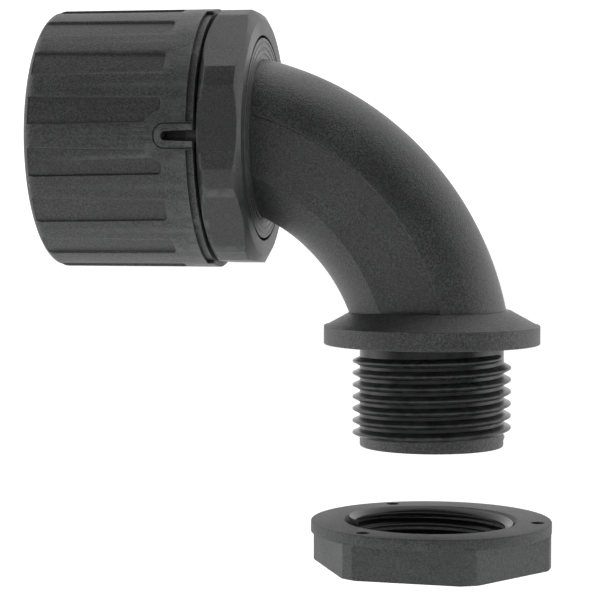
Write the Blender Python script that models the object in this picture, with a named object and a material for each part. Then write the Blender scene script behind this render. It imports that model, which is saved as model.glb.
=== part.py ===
"""Curved-elbow gland for corrugated conduit.

A threaded stub passes down through a panel and is held by a locknut.  Above the panel a flange carries
a curved tube that ends in a socket.  A conduit pushed into the socket is sealed by a rubber ring and
held by a claw ring, which a snap-fit cap closes round it.

Frame: metres, +Z up.  The origin is the centre of the flange's underside, on the thread's axis.  The
bend lies in the XZ plane, and the socket opens towards -X, a hair below the centre of the tube's end.
Lengths along the socket are measured outwards, towards -X, from the collar's inner face, where the
tube meets the collar.
"""

from math import cos, pi, radians, sin, sqrt

import bmesh
import bpy
from mathutils import Matrix, Vector

MM = 0.001

# Fits shared by neighbouring pieces
CLEARANCE = 0.30 * MM
RUNNING_CLEARANCE = 0.35 * MM

# Thread, stub and panel flange
THREAD_DIAMETER = 19.86 * MM
THREAD_PITCH = 1.5 * MM
THREAD_DEPTH = 0.91 * MM
THREAD_CREST = 0.25 * MM
THREAD_ROOT = 0.08 * MM
THREAD_TURNS = 7
THREAD_UNDERCUT = 0.75 * MM
THREAD_SUNK = 0.3 * MM
STUB_LENGTH = 12.85 * MM
STUB_CHAMFER = 0.2 * MM
STUB_WALL = 1.77 * MM
FLANGE_OVERHANG = 3.61 * MM
FLANGE_RIM = 2.35 * MM
FLANGE_CONE_HEIGHT = 1.85 * MM
FLANGE_LAND = 0.35 * MM
SEAT_RELIEF_DEPTH = 0.25 * MM
SEAT_RELIEF_MARGIN = 0.25 * MM

# Curved tube
BEND_RADIUS = 31.2 * MM
BEND_START = radians(11.1)
BEND_END = radians(72.6)
BEND_FOOT = 2.12 * MM
TUBE_WALL = 2.28 * MM
SIDE_FLAT_INNER = radians(-29.9)
SIDE_FLAT_OUTER = radians(15.2)
SIDE_FLAT_STEP = 0.45 * MM

# Conduit and the socket that takes it
CONDUIT_DIAMETER = 21.2 * MM
CONDUIT_CLEARANCE = 0.2 * MM
SOCKET_DROP = 0.13 * MM
SOCKET_FLOOR = 8.0 * MM
SLEEVE_WALL = 3.2 * MM
WELD_DISC_DEPTH = 3.0 * MM
WELD_DISC_INSET = 3.77 * MM
COLLAR_WIDTH = 5.35 * MM
COLLAR_SIDES = 8
COLLAR_TURN = radians(3.6)
COLLAR_CORNER_RISE = 0.1 * MM
COLLAR_FLAT_DEPTH = 0.8 * MM
COLLAR_INNER_CHAMFER = 0.85 * MM
COLLAR_INNER_CHAMFER_RISE = 1.5 * MM
COLLAR_OUTER_CHAMFER = 0.8 * MM
CHAMFER = 0.4 * MM

# Snap fit between sleeve and cap
SNAP_LAND = 1.7 * MM
SNAP_DEPTH = 0.9 * MM
SNAP_BEAD_WIDTH = 1.1 * MM
CAP_TRAVEL = 3.0 * MM

# Seal and thrust ring
POCKET_LAND = 1.0 * MM
POCKET_WALL = 1.5 * MM
SEAL_WIDTH = 3.4 * MM
SEAL_SQUEEZE = 0.3 * MM
SEAL_BACK = 0.9 * MM
SEAL_LIP = 0.8 * MM
THRUST_RING_WIDTH = 1.0 * MM
THRUST_RING_EDGE = 0.4 * MM

# Claw ring
CLAW_COUNT = 8
CLAW_BASE = 2.0 * MM
CLAW_BITE = 0.85 * MM
CLAW_THICKNESS = 1.1 * MM
CLAW_SLOT = 1.2 * MM
CLAW_SPLIT = 2.0 * MM

# Cap
CAP_LENGTH = 21.3 * MM
CAP_GAP = 0.35 * MM
CAP_WALL = 1.95 * MM
CAP_END_WALL = 2.4 * MM
CAP_CORNER_RADIUS = 1.55 * MM
CAP_MOUTH_CLEARANCE = 0.35 * MM
CAP_MOUTH_CHAMFER = 0.8 * MM
GRIP_COUNT = 16
GRIP_DEPTH = 0.3 * MM
GRIP_WIDTH = radians(12)
GRIP_SETBACK = 3.85 * MM
RELEASE_SLOT_COUNT = 2
RELEASE_SLOT_WIDTH = 1.2 * MM
RELEASE_SLOT_LENGTH = 3.87 * MM
REBATE_WIDTH = 0.8 * MM
REBATE_DEPTH = 0.45 * MM
REBATE_START = radians(6)
REBATE_END = radians(75)

# Locknut
LOCKNUT_HEIGHT = 5.65 * MM
LOCKNUT_RIM = 1.35 * MM
LOCKNUT_FLANGE = 5.22 * MM
LOCKNUT_FLAT_WALL = 3.57 * MM
LOCKNUT_TURN = radians(24.5)
LOCKNUT_CLEARANCE = 0.17 * MM
LOCKNUT_CHAMFER = 0.85 * MM
LOCKNUT_SIDES = 6
LOCKNUT_EDGE = 0.2 * MM
LOCKNUT_GAP = 9.39 * MM
DIMPLE_COUNT = 3
DIMPLE_DIAMETER = 1.8 * MM
DIMPLE_DEPTH = 0.5 * MM
DIMPLE_INSET = 1.75 * MM
DIMPLE_TURN = radians(-1.3)

# Facets in a full turn
ROUND_STEPS = 48
THREAD_STEPS = 24
CAP_STEPS = 64
DIMPLE_STEPS = 12
BEND_STEPS = 12
ARC_STEPS = 5

# Sizes that follow from the ones above
thread_radius = THREAD_DIAMETER / 2
stub_radius = thread_radius - THREAD_DEPTH
passage_radius = stub_radius - STUB_WALL
flange_radius = thread_radius + FLANGE_OVERHANG
relief_radius = thread_radius + SEAT_RELIEF_MARGIN
flange_top = FLANGE_RIM + FLANGE_CONE_HEIGHT
tube_radius = passage_radius + TUBE_WALL

bend_centre_x = -BEND_RADIUS * cos(BEND_START)
bend_centre_z = BEND_FOOT - BEND_RADIUS * sin(BEND_START)
socket_x = bend_centre_x + BEND_RADIUS * cos(BEND_END)
socket_z = bend_centre_z + BEND_RADIUS * sin(BEND_END) - SOCKET_DROP

conduit_radius = CONDUIT_DIAMETER / 2
sleeve_bore = conduit_radius + CONDUIT_CLEARANCE
sleeve_radius = sleeve_bore + SLEEVE_WALL
cap_bore = sleeve_radius + RUNNING_CLEARANCE
cap_radius = cap_bore + CAP_WALL
cap_mouth = conduit_radius + CAP_MOUTH_CLEARANCE
collar_radius = cap_radius + COLLAR_CORNER_RISE
collar_apothem = collar_radius - COLLAR_FLAT_DEPTH
disc_radius = collar_radius - WELD_DISC_INSET

groove_radius = sleeve_radius - SNAP_DEPTH
groove_start = COLLAR_WIDTH + SNAP_LAND
bead_start = groove_start + CLEARANCE
bead_end = bead_start + SNAP_BEAD_WIDTH
groove_end = bead_end + CAP_TRAVEL + CLEARANCE

pocket_radius = sleeve_radius - POCKET_WALL
pocket_start = groove_end + POCKET_LAND
seal_start = pocket_start + CLEARANCE
seal_end = seal_start + SEAL_WIDTH
sleeve_end = seal_end + CLEARANCE
thrust_start = sleeve_end + CLEARANCE
thrust_end = thrust_start + THRUST_RING_WIDTH

cap_start = COLLAR_WIDTH + CAP_GAP
cap_end = cap_start + CAP_LENGTH
cap_inner_end = cap_end - CAP_END_WALL
claw_start = thrust_end + CLEARANCE
claw_shoulder = claw_start + CLAW_BASE
claw_end = cap_inner_end - CLEARANCE
claw_radius = cap_bore - CLEARANCE
claw_tip_inner = conduit_radius - CLAW_BITE
claw_tip_outer = sleeve_bore + CLAW_THICKNESS

locknut_bore = thread_radius + LOCKNUT_CLEARANCE
locknut_radius = thread_radius + LOCKNUT_FLANGE
locknut_apothem = thread_radius + LOCKNUT_FLAT_WALL
locknut_top = -STUB_LENGTH - LOCKNUT_GAP
locknut_bottom = locknut_top - LOCKNUT_HEIGHT


def clear_scene():
    for item in list(bpy.data.objects):
        bpy.data.objects.remove(item, do_unlink=True)


def make_material(name, colour, roughness):
    material = bpy.data.materials.new(name)
    material.use_nodes = True
    shader = material.node_tree.nodes["Principled BSDF"]
    shader.inputs["Base Color"].default_value = (*colour, 1.0)
    shader.inputs["Roughness"].default_value = roughness
    shader.inputs["Metallic"].default_value = 0.0
    return material


def finish(name, mesh, material=None, place=(0.0, 0.0, 0.0)):
    """Turn a bmesh into a named, smooth-shaded object with its origin at place."""
    bmesh.ops.remove_doubles(mesh, verts=mesh.verts, dist=1e-7)
    bmesh.ops.recalc_face_normals(mesh, faces=mesh.faces)
    data = bpy.data.meshes.new(name)
    mesh.to_mesh(data)
    mesh.free()
    data.shade_smooth()
    data.set_sharp_from_angle(angle=radians(30))
    item = bpy.data.objects.new(name, data)
    item.location = place
    if material:
        data.materials.append(material)
    bpy.context.scene.collection.objects.link(item)
    return item


def combine(target, tool, operation):
    """Cut, join or keep with another solid, which stays in the file as a hidden guide."""
    tool.hide_render = True
    tool.display_type = "WIRE"
    modifier = target.modifiers.new(f"{operation.lower()} {tool.name}", "BOOLEAN")
    modifier.operation = operation
    modifier.solver = "EXACT"
    modifier.object = tool


def turned(profile, axis, steps, closed=True):
    """Spin a profile round its axis.

    For the thread's Z axis a point is (height, radius).  For the socket's X axis it is (distance
    outwards from the collar's inner face, radius).  An open profile starts and ends on the axis.
    """
    mesh = bmesh.new()
    if axis == "Z":
        points = [(radius, 0.0, along) for along, radius in profile]
        spin_axis = (0.0, 0.0, 1.0)
    else:
        points = [(-along, 0.0, radius) for along, radius in profile]
        spin_axis = (1.0, 0.0, 0.0)
    corners = [mesh.verts.new(point) for point in points]
    pairs = list(zip(corners, corners[1:]))
    if closed:
        pairs.append((corners[-1], corners[0]))
    edges = [mesh.edges.new(pair) for pair in pairs]
    bmesh.ops.spin(
        mesh,
        geom=corners + edges,
        cent=(0.0, 0.0, 0.0),
        axis=spin_axis,
        angle=2 * pi,
        steps=steps,
        use_merge=True,
    )
    return mesh


def arc(centre_along, centre_radius, radius, start, end, steps=ARC_STEPS):
    """Points of a profile's rounded corner; an angle of 0 points along the axis, 90 degrees outwards."""
    points = []
    for step in range(steps + 1):
        angle = start + (end - start) * step / steps
        points.append((centre_along + radius * cos(angle), centre_radius + radius * sin(angle)))
    return points


def add_box(mesh, size, matrix):
    bmesh.ops.create_cube(mesh, size=1.0, matrix=matrix @ Matrix.Diagonal((*size, 1.0)))


def close_ends(mesh):
    """Fill the open ends that a spin or a sweep leaves."""
    bmesh.ops.holes_fill(mesh, edges=[edge for edge in mesh.edges if edge.is_boundary])
    bmesh.ops.recalc_face_normals(mesh, faces=mesh.faces)


def slice_off(mesh, point, normal):
    """Cut away what lies beyond a plane and close the cut with one flat face."""
    cut = bmesh.ops.bisect_plane(
        mesh,
        geom=mesh.verts[:] + mesh.edges[:] + mesh.faces[:],
        dist=1e-8,
        plane_co=point,
        plane_no=normal,
        clear_outer=True,
    )
    rim = [part for part in cut["geom_cut"] if isinstance(part, bmesh.types.BMEdge)]
    bmesh.ops.edgeloop_fill(mesh, edges=rim)


def bend_point(radius, angle):
    return Vector((bend_centre_x + radius * cos(angle), 0.0, bend_centre_z + radius * sin(angle)))


# --- Elbow body: stub, thread, flange, curved tube and weld disc


def spread(first, last, count):
    """Evenly spaced values from first to last, both included."""
    return [first + (last - first) * index / (count - 1) for index in range(count)]


def tube_section():
    """Outline of the curved tube as (outwards from the bend, sideways): a circle with a flat each side."""
    outer_angles = spread(pi / 2, SIDE_FLAT_OUTER, ROUND_STEPS // 4)
    inner_angles = spread(SIDE_FLAT_INNER, -pi / 2, ROUND_STEPS // 6)
    outer_arc = [(tube_radius * sin(angle), tube_radius * cos(angle)) for angle in outer_angles]
    inner_arc = [(tube_radius * sin(angle), tube_radius * cos(angle)) for angle in inner_angles]
    flat_edge = (outer_arc[-1][0], outer_arc[-1][1] - SIDE_FLAT_STEP)
    one_side = outer_arc + [flat_edge] + inner_arc
    other_side = [(outward, -sideways) for outward, sideways in one_side[-2:0:-1]]
    return one_side + other_side


def curved_tube():
    mesh = bmesh.new()
    overrun = radians(6)
    corners = []
    for outward, sideways in tube_section():
        place = bend_point(BEND_RADIUS + outward, BEND_START - overrun)
        corners.append(mesh.verts.new((place.x, sideways, place.z)))
    bmesh.ops.spin(
        mesh,
        geom=[mesh.faces.new(corners)],
        cent=(bend_centre_x, 0.0, bend_centre_z),
        axis=(0.0, -1.0, 0.0),
        angle=BEND_END - BEND_START + 2 * overrun,
        steps=BEND_STEPS,
    )
    close_ends(mesh)
    slice_off(mesh, (0.0, 0.0, FLANGE_RIM / 2), (0.0, 0.0, -1.0))
    slice_off(mesh, (socket_x - WELD_DISC_DEPTH / 2, 0.0, 0.0), (-1.0, 0.0, 0.0))
    return finish("tube", mesh)


def thread_ridge():
    """Right-hand helical ridge, with its base sunk a little into the stub."""
    mesh = bmesh.new()
    base = stub_radius - THREAD_SUNK
    base_half = (THREAD_PITCH - THREAD_ROOT) / 2
    first = -THREAD_UNDERCUT - base_half - THREAD_TURNS * THREAD_PITCH
    outline = [
        (base, first - base_half),
        (thread_radius, first - THREAD_CREST / 2),
        (thread_radius, first + THREAD_CREST / 2),
        (base, first + base_half),
    ]
    section = mesh.faces.new([mesh.verts.new((radius, 0.0, height)) for radius, height in outline])
    bmesh.ops.spin(
        mesh,
        geom=[section],
        cent=(0.0, 0.0, 0.0),
        axis=(0.0, 0.0, 1.0),
        dvec=(0.0, 0.0, THREAD_PITCH / THREAD_STEPS),
        angle=2 * pi * THREAD_TURNS,
        steps=THREAD_TURNS * THREAD_STEPS,
    )
    close_ends(mesh)
    return finish("thread_ridge", mesh)


def passage_core():
    """Solid of the wire passage: straight through the stub, round the bend and out through the disc."""
    overrun = 2 * MM
    path = [Vector((0.0, 0.0, -STUB_LENGTH - overrun)), Vector((0.0, 0.0, BEND_FOOT))]
    for step in range(1, BEND_STEPS):
        path.append(bend_point(BEND_RADIUS, BEND_START + (BEND_END - BEND_START) * step / BEND_STEPS))
    path.append(Vector((socket_x, 0.0, socket_z)))
    path.append(Vector((socket_x - WELD_DISC_DEPTH - overrun, 0.0, socket_z)))
    mesh = bmesh.new()
    previous = None
    for index, point in enumerate(path):
        before = (point - path[index - 1]).normalized() if index else (path[1] - point).normalized()
        after = (path[index + 1] - point).normalized() if index + 1 < len(path) else before
        along = (before + after).normalized()
        mitre = 1 / along.dot(before)
        across = Vector((0.0, 1.0, 0.0))
        outward = across.cross(along)
        frame = Matrix((outward * mitre, across, along)).transposed().to_4x4()
        frame.translation = point
        ring = bmesh.ops.create_circle(
            mesh, segments=ROUND_STEPS // 2, radius=passage_radius, matrix=frame
        )
        ring_edges = [edge for edge in mesh.edges if all(vert in ring["verts"] for vert in edge.verts)]
        if previous:
            bmesh.ops.bridge_loops(mesh, edges=previous + ring_edges)
        previous = ring_edges
    close_ends(mesh)
    return finish("passage_core", mesh)


def weld_disc():
    profile = [
        (0.0, 0.0),
        (0.0, disc_radius),
        (WELD_DISC_DEPTH - CHAMFER, disc_radius),
        (WELD_DISC_DEPTH, disc_radius - CHAMFER),
        (WELD_DISC_DEPTH, 0.0),
    ]
    return finish(
        "weld_disc", turned(profile, "X", ROUND_STEPS, closed=False), place=(socket_x, 0.0, socket_z)
    )


def elbow_body(material):
    profile = [
        (-STUB_LENGTH, 0.0),
        (-STUB_LENGTH, stub_radius - STUB_CHAMFER),
        (-STUB_LENGTH + STUB_CHAMFER, stub_radius),
        (SEAT_RELIEF_DEPTH, stub_radius),
        (SEAT_RELIEF_DEPTH, relief_radius),
        (0.0, relief_radius),
        (0.0, flange_radius),
        (FLANGE_RIM, flange_radius),
        (FLANGE_RIM, flange_radius - FLANGE_LAND),
        (flange_top, tube_radius + FLANGE_LAND),
        (flange_top, 0.0),
    ]
    body = finish("elbow_body", turned(profile, "Z", ROUND_STEPS, closed=False), material)
    combine(body, thread_ridge(), "UNION")
    combine(body, curved_tube(), "UNION")
    combine(body, weld_disc(), "UNION")
    combine(body, passage_core(), "DIFFERENCE")


# --- Socket pieces


def socket_place():
    return (socket_x, 0.0, socket_z)


def socket_head(material):
    """Octagonal collar with the sleeve that the cap snaps over."""
    recess = WELD_DISC_DEPTH + CLEARANCE
    recess_radius = disc_radius + CLEARANCE
    profile = [
        (0.0, recess_radius),
        (0.0, collar_radius - COLLAR_INNER_CHAMFER_RISE),
        (COLLAR_INNER_CHAMFER, collar_radius),
        (COLLAR_WIDTH - COLLAR_OUTER_CHAMFER, collar_radius),
        (COLLAR_WIDTH, collar_radius - COLLAR_OUTER_CHAMFER),
        (COLLAR_WIDTH, sleeve_radius),
        (groove_start, sleeve_radius),
        (groove_start, groove_radius),
        (groove_end, groove_radius),
        (groove_end, sleeve_radius),
        (sleeve_end - CHAMFER, sleeve_radius),
        (sleeve_end, sleeve_radius - CHAMFER),
        (sleeve_end, pocket_radius),
        (pocket_start, pocket_radius),
        (pocket_start, sleeve_bore),
        (SOCKET_FLOOR, sleeve_bore),
        (SOCKET_FLOOR, passage_radius),
        (recess, passage_radius),
        (recess, recess_radius),
    ]
    mesh = turned(profile, "X", ROUND_STEPS)
    bmesh.ops.recalc_face_normals(mesh, faces=mesh.faces)
    for side in range(COLLAR_SIDES):
        angle = COLLAR_TURN + 2 * pi * side / COLLAR_SIDES
        outward = Vector((0.0, -cos(angle), sin(angle)))
        slice_off(mesh, outward * collar_apothem, outward)
    finish("socket_head", mesh, material, socket_place())


def conduit_seal(material):
    """Rubber ring with two lips that press on the conduit."""
    seal_radius = pocket_radius - CLEARANCE
    lip_radius = conduit_radius - SEAL_SQUEEZE
    back_radius = conduit_radius + SEAL_BACK
    middle = (seal_start + seal_end) / 2
    profile = [
        (seal_start, seal_radius),
        (seal_end, seal_radius),
        (seal_end, back_radius),
        (seal_end - SEAL_LIP / 2, lip_radius),
        (seal_end - SEAL_LIP, lip_radius),
        (middle, back_radius),
        (seal_start + SEAL_LIP, lip_radius),
        (seal_start + SEAL_LIP / 2, lip_radius),
        (seal_start, back_radius),
    ]
    finish("conduit_seal", turned(profile, "X", ROUND_STEPS), material, socket_place())


def thrust_ring(material):
    profile = [
        (thrust_start, sleeve_bore),
        (thrust_start, sleeve_radius - THRUST_RING_EDGE),
        (thrust_start + THRUST_RING_EDGE, sleeve_radius),
        (thrust_end, sleeve_radius),
        (thrust_end, sleeve_bore),
    ]
    finish("thrust_ring", turned(profile, "X", ROUND_STEPS), material, socket_place())


def claw_ring(material):
    """Split ring whose sprung fingers hook into the conduit's grooves."""
    barb = claw_end - CLAW_THICKNESS
    profile = [
        (claw_start, sleeve_bore),
        (claw_start, claw_radius),
        (claw_shoulder, claw_radius),
        (claw_end, claw_tip_outer),
        (claw_end, claw_tip_inner),
        (barb, claw_tip_inner),
        (claw_shoulder, sleeve_bore),
    ]
    ring = finish("claw_ring", turned(profile, "X", ROUND_STEPS), material, socket_place())
    slots = bmesh.new()
    overrun = 1 * MM
    outer = claw_radius + overrun
    inner = claw_tip_inner - overrun
    for finger in range(CLAW_COUNT):
        is_split = finger == 0
        width = CLAW_SPLIT if is_split else CLAW_SLOT
        start = claw_start - overrun if is_split else claw_shoulder
        length = claw_end + overrun - start
        turn = Matrix.Rotation(2 * pi * finger / CLAW_COUNT, 4, "X")
        place = Matrix.Translation((-(start + length / 2), 0.0, (outer + inner) / 2))
        add_box(slots, (length, width, outer - inner), turn @ place)
    combine(ring, finish("claw_slots", slots, place=socket_place()), "DIFFERENCE")


def cap_grips():
    """Blocks that press the finger panels into the cap's side, with flat floors."""
    mesh = bmesh.new()
    overrun = 2 * MM
    start = cap_start + GRIP_SETBACK
    length = cap_end + overrun - start
    floor = cap_radius - GRIP_DEPTH
    width = 2 * cap_radius * sin(GRIP_WIDTH / 2)
    for grip in range(GRIP_COUNT):
        turn = Matrix.Rotation(2 * pi * (grip + 0.5) / GRIP_COUNT, 4, "X")
        place = Matrix.Translation((-(start + length / 2), 0.0, floor + overrun / 2))
        add_box(mesh, (length, width, overrun), turn @ place)
    return finish("cap_grips", mesh, place=socket_place())


def release_slots():
    """Screwdriver slots in the cap's rim, each with a round closed end."""
    mesh = bmesh.new()
    overrun = 2 * MM
    inner = cap_bore - SNAP_DEPTH - overrun
    outer = cap_radius + overrun
    tip = cap_start + RELEASE_SLOT_LENGTH - RELEASE_SLOT_WIDTH / 2
    outline = [(cap_start - overrun, RELEASE_SLOT_WIDTH / 2)]
    outline += arc(tip, 0.0, RELEASE_SLOT_WIDTH / 2, pi / 2, -pi / 2)
    outline.append((cap_start - overrun, -RELEASE_SLOT_WIDTH / 2))
    for slot in range(RELEASE_SLOT_COUNT):
        turn = Matrix.Rotation(pi / 2 + 2 * pi * slot / RELEASE_SLOT_COUNT, 4, "X")
        corners = [mesh.verts.new(turn @ Vector((-along, across, inner))) for along, across in outline]
        floor = mesh.faces.new(corners)
        raised = bmesh.ops.extrude_face_region(mesh, geom=[floor], use_keep_orig=True)
        moved = [part for part in raised["geom"] if isinstance(part, bmesh.types.BMVert)]
        bmesh.ops.translate(mesh, verts=moved, vec=turn @ Vector((0.0, 0.0, outer - inner)))
    return finish("release_slots", mesh, place=socket_place())


def rim_rebates():
    """Shallow steps round the cap's rim, on both sides of each release slot."""
    mesh = bmesh.new()
    overrun = 1 * MM
    outline = [
        (cap_start - overrun, cap_radius - REBATE_DEPTH),
        (cap_start + REBATE_WIDTH, cap_radius - REBATE_DEPTH),
        (cap_start + REBATE_WIDTH, cap_radius + overrun),
        (cap_start - overrun, cap_radius + overrun),
    ]
    sweep = REBATE_END - REBATE_START
    for slot in range(RELEASE_SLOT_COUNT):
        centre = pi / 2 + 2 * pi * slot / RELEASE_SLOT_COUNT
        for first in (centre + REBATE_START, centre - REBATE_END):
            turn = Matrix.Rotation(first, 4, "X")
            corners = [mesh.verts.new(turn @ Vector((-along, 0.0, radius))) for along, radius in outline]
            bmesh.ops.spin(
                mesh,
                geom=[mesh.faces.new(corners)],
                cent=(0.0, 0.0, 0.0),
                axis=(1.0, 0.0, 0.0),
                angle=sweep,
                steps=round(CAP_STEPS * sweep / (2 * pi)),
            )
    close_ends(mesh)
    return finish("rim_rebates", mesh, place=socket_place())


def locking_cap(material):
    """Snap-fit cap: bead at the rim, cone that closes the claws, and the conduit's mouth."""
    bead_radius = groove_radius + CLEARANCE
    cone_start = claw_shoulder + CLEARANCE
    corner_along = cap_end - CAP_CORNER_RADIUS
    corner_radius = cap_radius - CAP_CORNER_RADIUS
    bead_slope = cap_bore - bead_radius
    profile = [
        (cap_start, cap_bore),
        (cap_start, cap_radius),
        *arc(corner_along, corner_radius, CAP_CORNER_RADIUS, pi / 2, 0.0),
        (cap_end, cap_mouth + CAP_MOUTH_CHAMFER),
        (cap_end - CAP_MOUTH_CHAMFER, cap_mouth),
        (cap_inner_end, cap_mouth),
        (cap_inner_end, claw_tip_outer + CLEARANCE),
        (cone_start, cap_bore),
        (bead_end, cap_bore),
        (bead_end - bead_slope / 2, bead_radius),
        (bead_start + bead_slope / 2, bead_radius),
        (bead_start, cap_bore),
    ]
    cap = finish("locking_cap", turned(profile, "X", CAP_STEPS), material, socket_place())
    combine(cap, cap_grips(), "DIFFERENCE")
    combine(cap, release_slots(), "DIFFERENCE")
    combine(cap, rim_rebates(), "DIFFERENCE")


# --- Locknut


def nut_flats():
    """Blocks outside the hexagon, below the nut's round rim."""
    mesh = bmesh.new()
    overrun = 1 * MM
    depth = locknut_radius + overrun - locknut_apothem
    width = 2 * sqrt(locknut_radius**2 - locknut_apothem**2) + overrun
    height = LOCKNUT_HEIGHT - LOCKNUT_RIM + overrun
    for side in range(LOCKNUT_SIDES):
        turn = Matrix.Rotation(LOCKNUT_TURN + 2 * pi * side / LOCKNUT_SIDES, 4, "Z")
        place = Matrix.Translation((locknut_apothem + depth / 2, 0.0, -LOCKNUT_RIM - height / 2))
        add_box(mesh, (depth, width, height), turn @ place)
    return finish("nut_flats", mesh, place=(0.0, 0.0, locknut_top))


def nut_dimples():
    mesh = bmesh.new()
    for dimple in range(DIMPLE_COUNT):
        turn = Matrix.Rotation(DIMPLE_TURN + 2 * pi * dimple / DIMPLE_COUNT, 4, "Z")
        bmesh.ops.create_cone(
            mesh,
            cap_ends=True,
            segments=DIMPLE_STEPS,
            radius1=DIMPLE_DIAMETER / 2,
            radius2=DIMPLE_DIAMETER / 2,
            depth=2 * DIMPLE_DEPTH,
            matrix=turn @ Matrix.Translation((locknut_radius - DIMPLE_INSET, 0.0, 0.0)),
        )
    return finish("nut_dimples", mesh, place=(0.0, 0.0, locknut_top))


def locknut(material):
    profile = [
        (0.0, locknut_bore + LOCKNUT_CHAMFER),
        (0.0, locknut_radius - LOCKNUT_EDGE),
        (-LOCKNUT_EDGE, locknut_radius),
        (-LOCKNUT_HEIGHT + LOCKNUT_EDGE, locknut_radius),
        (-LOCKNUT_HEIGHT, locknut_radius - LOCKNUT_EDGE),
        (-LOCKNUT_HEIGHT, locknut_bore + LOCKNUT_CHAMFER),
        (-LOCKNUT_HEIGHT + LOCKNUT_CHAMFER, locknut_bore),
        (-LOCKNUT_CHAMFER, locknut_bore),
    ]
    nut = finish("locknut", turned(profile, "Z", ROUND_STEPS), material, (0.0, 0.0, locknut_top))
    combine(nut, nut_flats(), "DIFFERENCE")
    combine(nut, nut_dimples(), "DIFFERENCE")


clear_scene()
elbow_body(make_material("elbow nylon", (0.075, 0.078, 0.080), 0.48))
socket_head(make_material("head nylon", (0.075, 0.078, 0.080), 0.45))
conduit_seal(make_material("seal rubber", (0.03, 0.03, 0.03), 0.75))
thrust_ring(make_material("thrust ring nylon", (0.06, 0.06, 0.06), 0.5))
claw_ring(make_material("claw ring acetal", (0.04, 0.04, 0.042), 0.4))
locking_cap(make_material("cap nylon", (0.075, 0.078, 0.080), 0.5))
locknut(make_material("locknut nylon", (0.09, 0.092, 0.094), 0.55))
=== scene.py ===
"""Curved-elbow gland for corrugated conduit: moulded black nylon body, snap-fit cap and locknut."""

from math import acos, atan2, cos, pi, radians, sin, tan

import bmesh
import bpy
from mathutils import Matrix, Vector


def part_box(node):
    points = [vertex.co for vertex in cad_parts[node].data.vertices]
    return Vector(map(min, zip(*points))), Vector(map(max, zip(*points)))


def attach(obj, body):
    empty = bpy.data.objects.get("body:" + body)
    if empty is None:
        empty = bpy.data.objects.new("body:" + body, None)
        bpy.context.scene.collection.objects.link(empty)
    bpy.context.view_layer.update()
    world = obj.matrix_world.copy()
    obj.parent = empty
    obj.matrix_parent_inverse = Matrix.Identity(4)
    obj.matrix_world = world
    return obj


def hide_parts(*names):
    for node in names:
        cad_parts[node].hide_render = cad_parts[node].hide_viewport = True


MM = 0.001

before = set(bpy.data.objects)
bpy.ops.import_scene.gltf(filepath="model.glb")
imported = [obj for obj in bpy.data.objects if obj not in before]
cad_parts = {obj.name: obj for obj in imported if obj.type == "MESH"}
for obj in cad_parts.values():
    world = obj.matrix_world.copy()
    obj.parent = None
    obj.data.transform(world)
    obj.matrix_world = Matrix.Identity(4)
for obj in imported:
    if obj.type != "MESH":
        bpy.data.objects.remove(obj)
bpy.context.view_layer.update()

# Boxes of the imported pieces, in metres
cap_low, cap_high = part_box("locking_cap")
head_low, head_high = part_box("socket_head")
elbow_low, elbow_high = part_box("elbow_body")
nut_low, nut_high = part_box("locknut")
seal_low, seal_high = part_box("conduit_seal")
thrust_low, thrust_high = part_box("thrust_ring")
claw_low, claw_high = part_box("claw_ring")

# Places taken from them, in millimetres. STUB_END is a height; every other START and END is a
# distance out along the socket from the collar's inner face
SOCKET_X = head_high.x / MM
SOCKET_Z = (cap_low.z + cap_high.z) / 2 / MM
NUT_TOP = nut_high.z / MM
NUT_HEIGHT = (nut_high.z - nut_low.z) / MM
NUT_RADIUS = (nut_high.x - nut_low.x) / 2 / MM
STUB_END = elbow_low.z / MM
FLANGE_RADIUS = elbow_high.x / MM
CAP_START = SOCKET_X - cap_high.x / MM
CAP_END = SOCKET_X - cap_low.x / MM
CAP_RADIUS = (cap_high.z - cap_low.z) / 2 / MM
SLEEVE_END = SOCKET_X - head_low.x / MM
SEAL_START = SOCKET_X - seal_high.x / MM
SEAL_END = SOCKET_X - seal_low.x / MM
THRUST_START = SOCKET_X - thrust_high.x / MM
THRUST_END = SOCKET_X - thrust_low.x / MM
CLAW_START = SOCKET_X - claw_high.x / MM
CLAW_END = SOCKET_X - claw_low.x / MM

# Gap between mouldings that touch, in millimetres like every length below
GAP = 0.3

# Bend of the tube
BEND_RADIUS = 31.2
BEND_START = radians(11.1)
BEND_END = radians(72.6)
BEND_FOOT = 2.12
BEND_X = -BEND_RADIUS * cos(BEND_START)
BEND_Z = BEND_FOOT - BEND_RADIUS * sin(BEND_START)
TUBE_RADIUS = 9.53
PASSAGE_RADIUS = 7.25
DISC_RADIUS = 12.63
DISC_DEPTH = 3.0
DISC_RINGS = (10.3, 11.1, 11.9)
RING_DEPTH = 0.07

# Flange and thread
FLANGE_RIM = 2.35
FLANGE_TOP = 4.2
SEAT_RELIEF = 0.25
PITCH = 1.5
TURNS = 7
CREST_RADIUS = 9.93
ROOT_RADIUS = 9.02
THREAD_FOOT = -11.96
LEAD_IN_TOP = THREAD_FOOT + PITCH / 2
THREAD_STEPS = 72

# Locknut
NUT_APOTHEM = 13.5
NUT_TURN = radians(24.5)
NUT_BORE = 10.1
NUT_CHAMFER = 0.85
NUT_RIM_DEPTH = 1.35
NUT_THREAD_CREST = 9.3
NUT_THREAD_BURIED = 10.3
NUT_THREAD_TURNS = 2.6
DIMPLES = 3
DIMPLE_CIRCLE = 13.4
DIMPLE_TURN = radians(-1.3)

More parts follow.
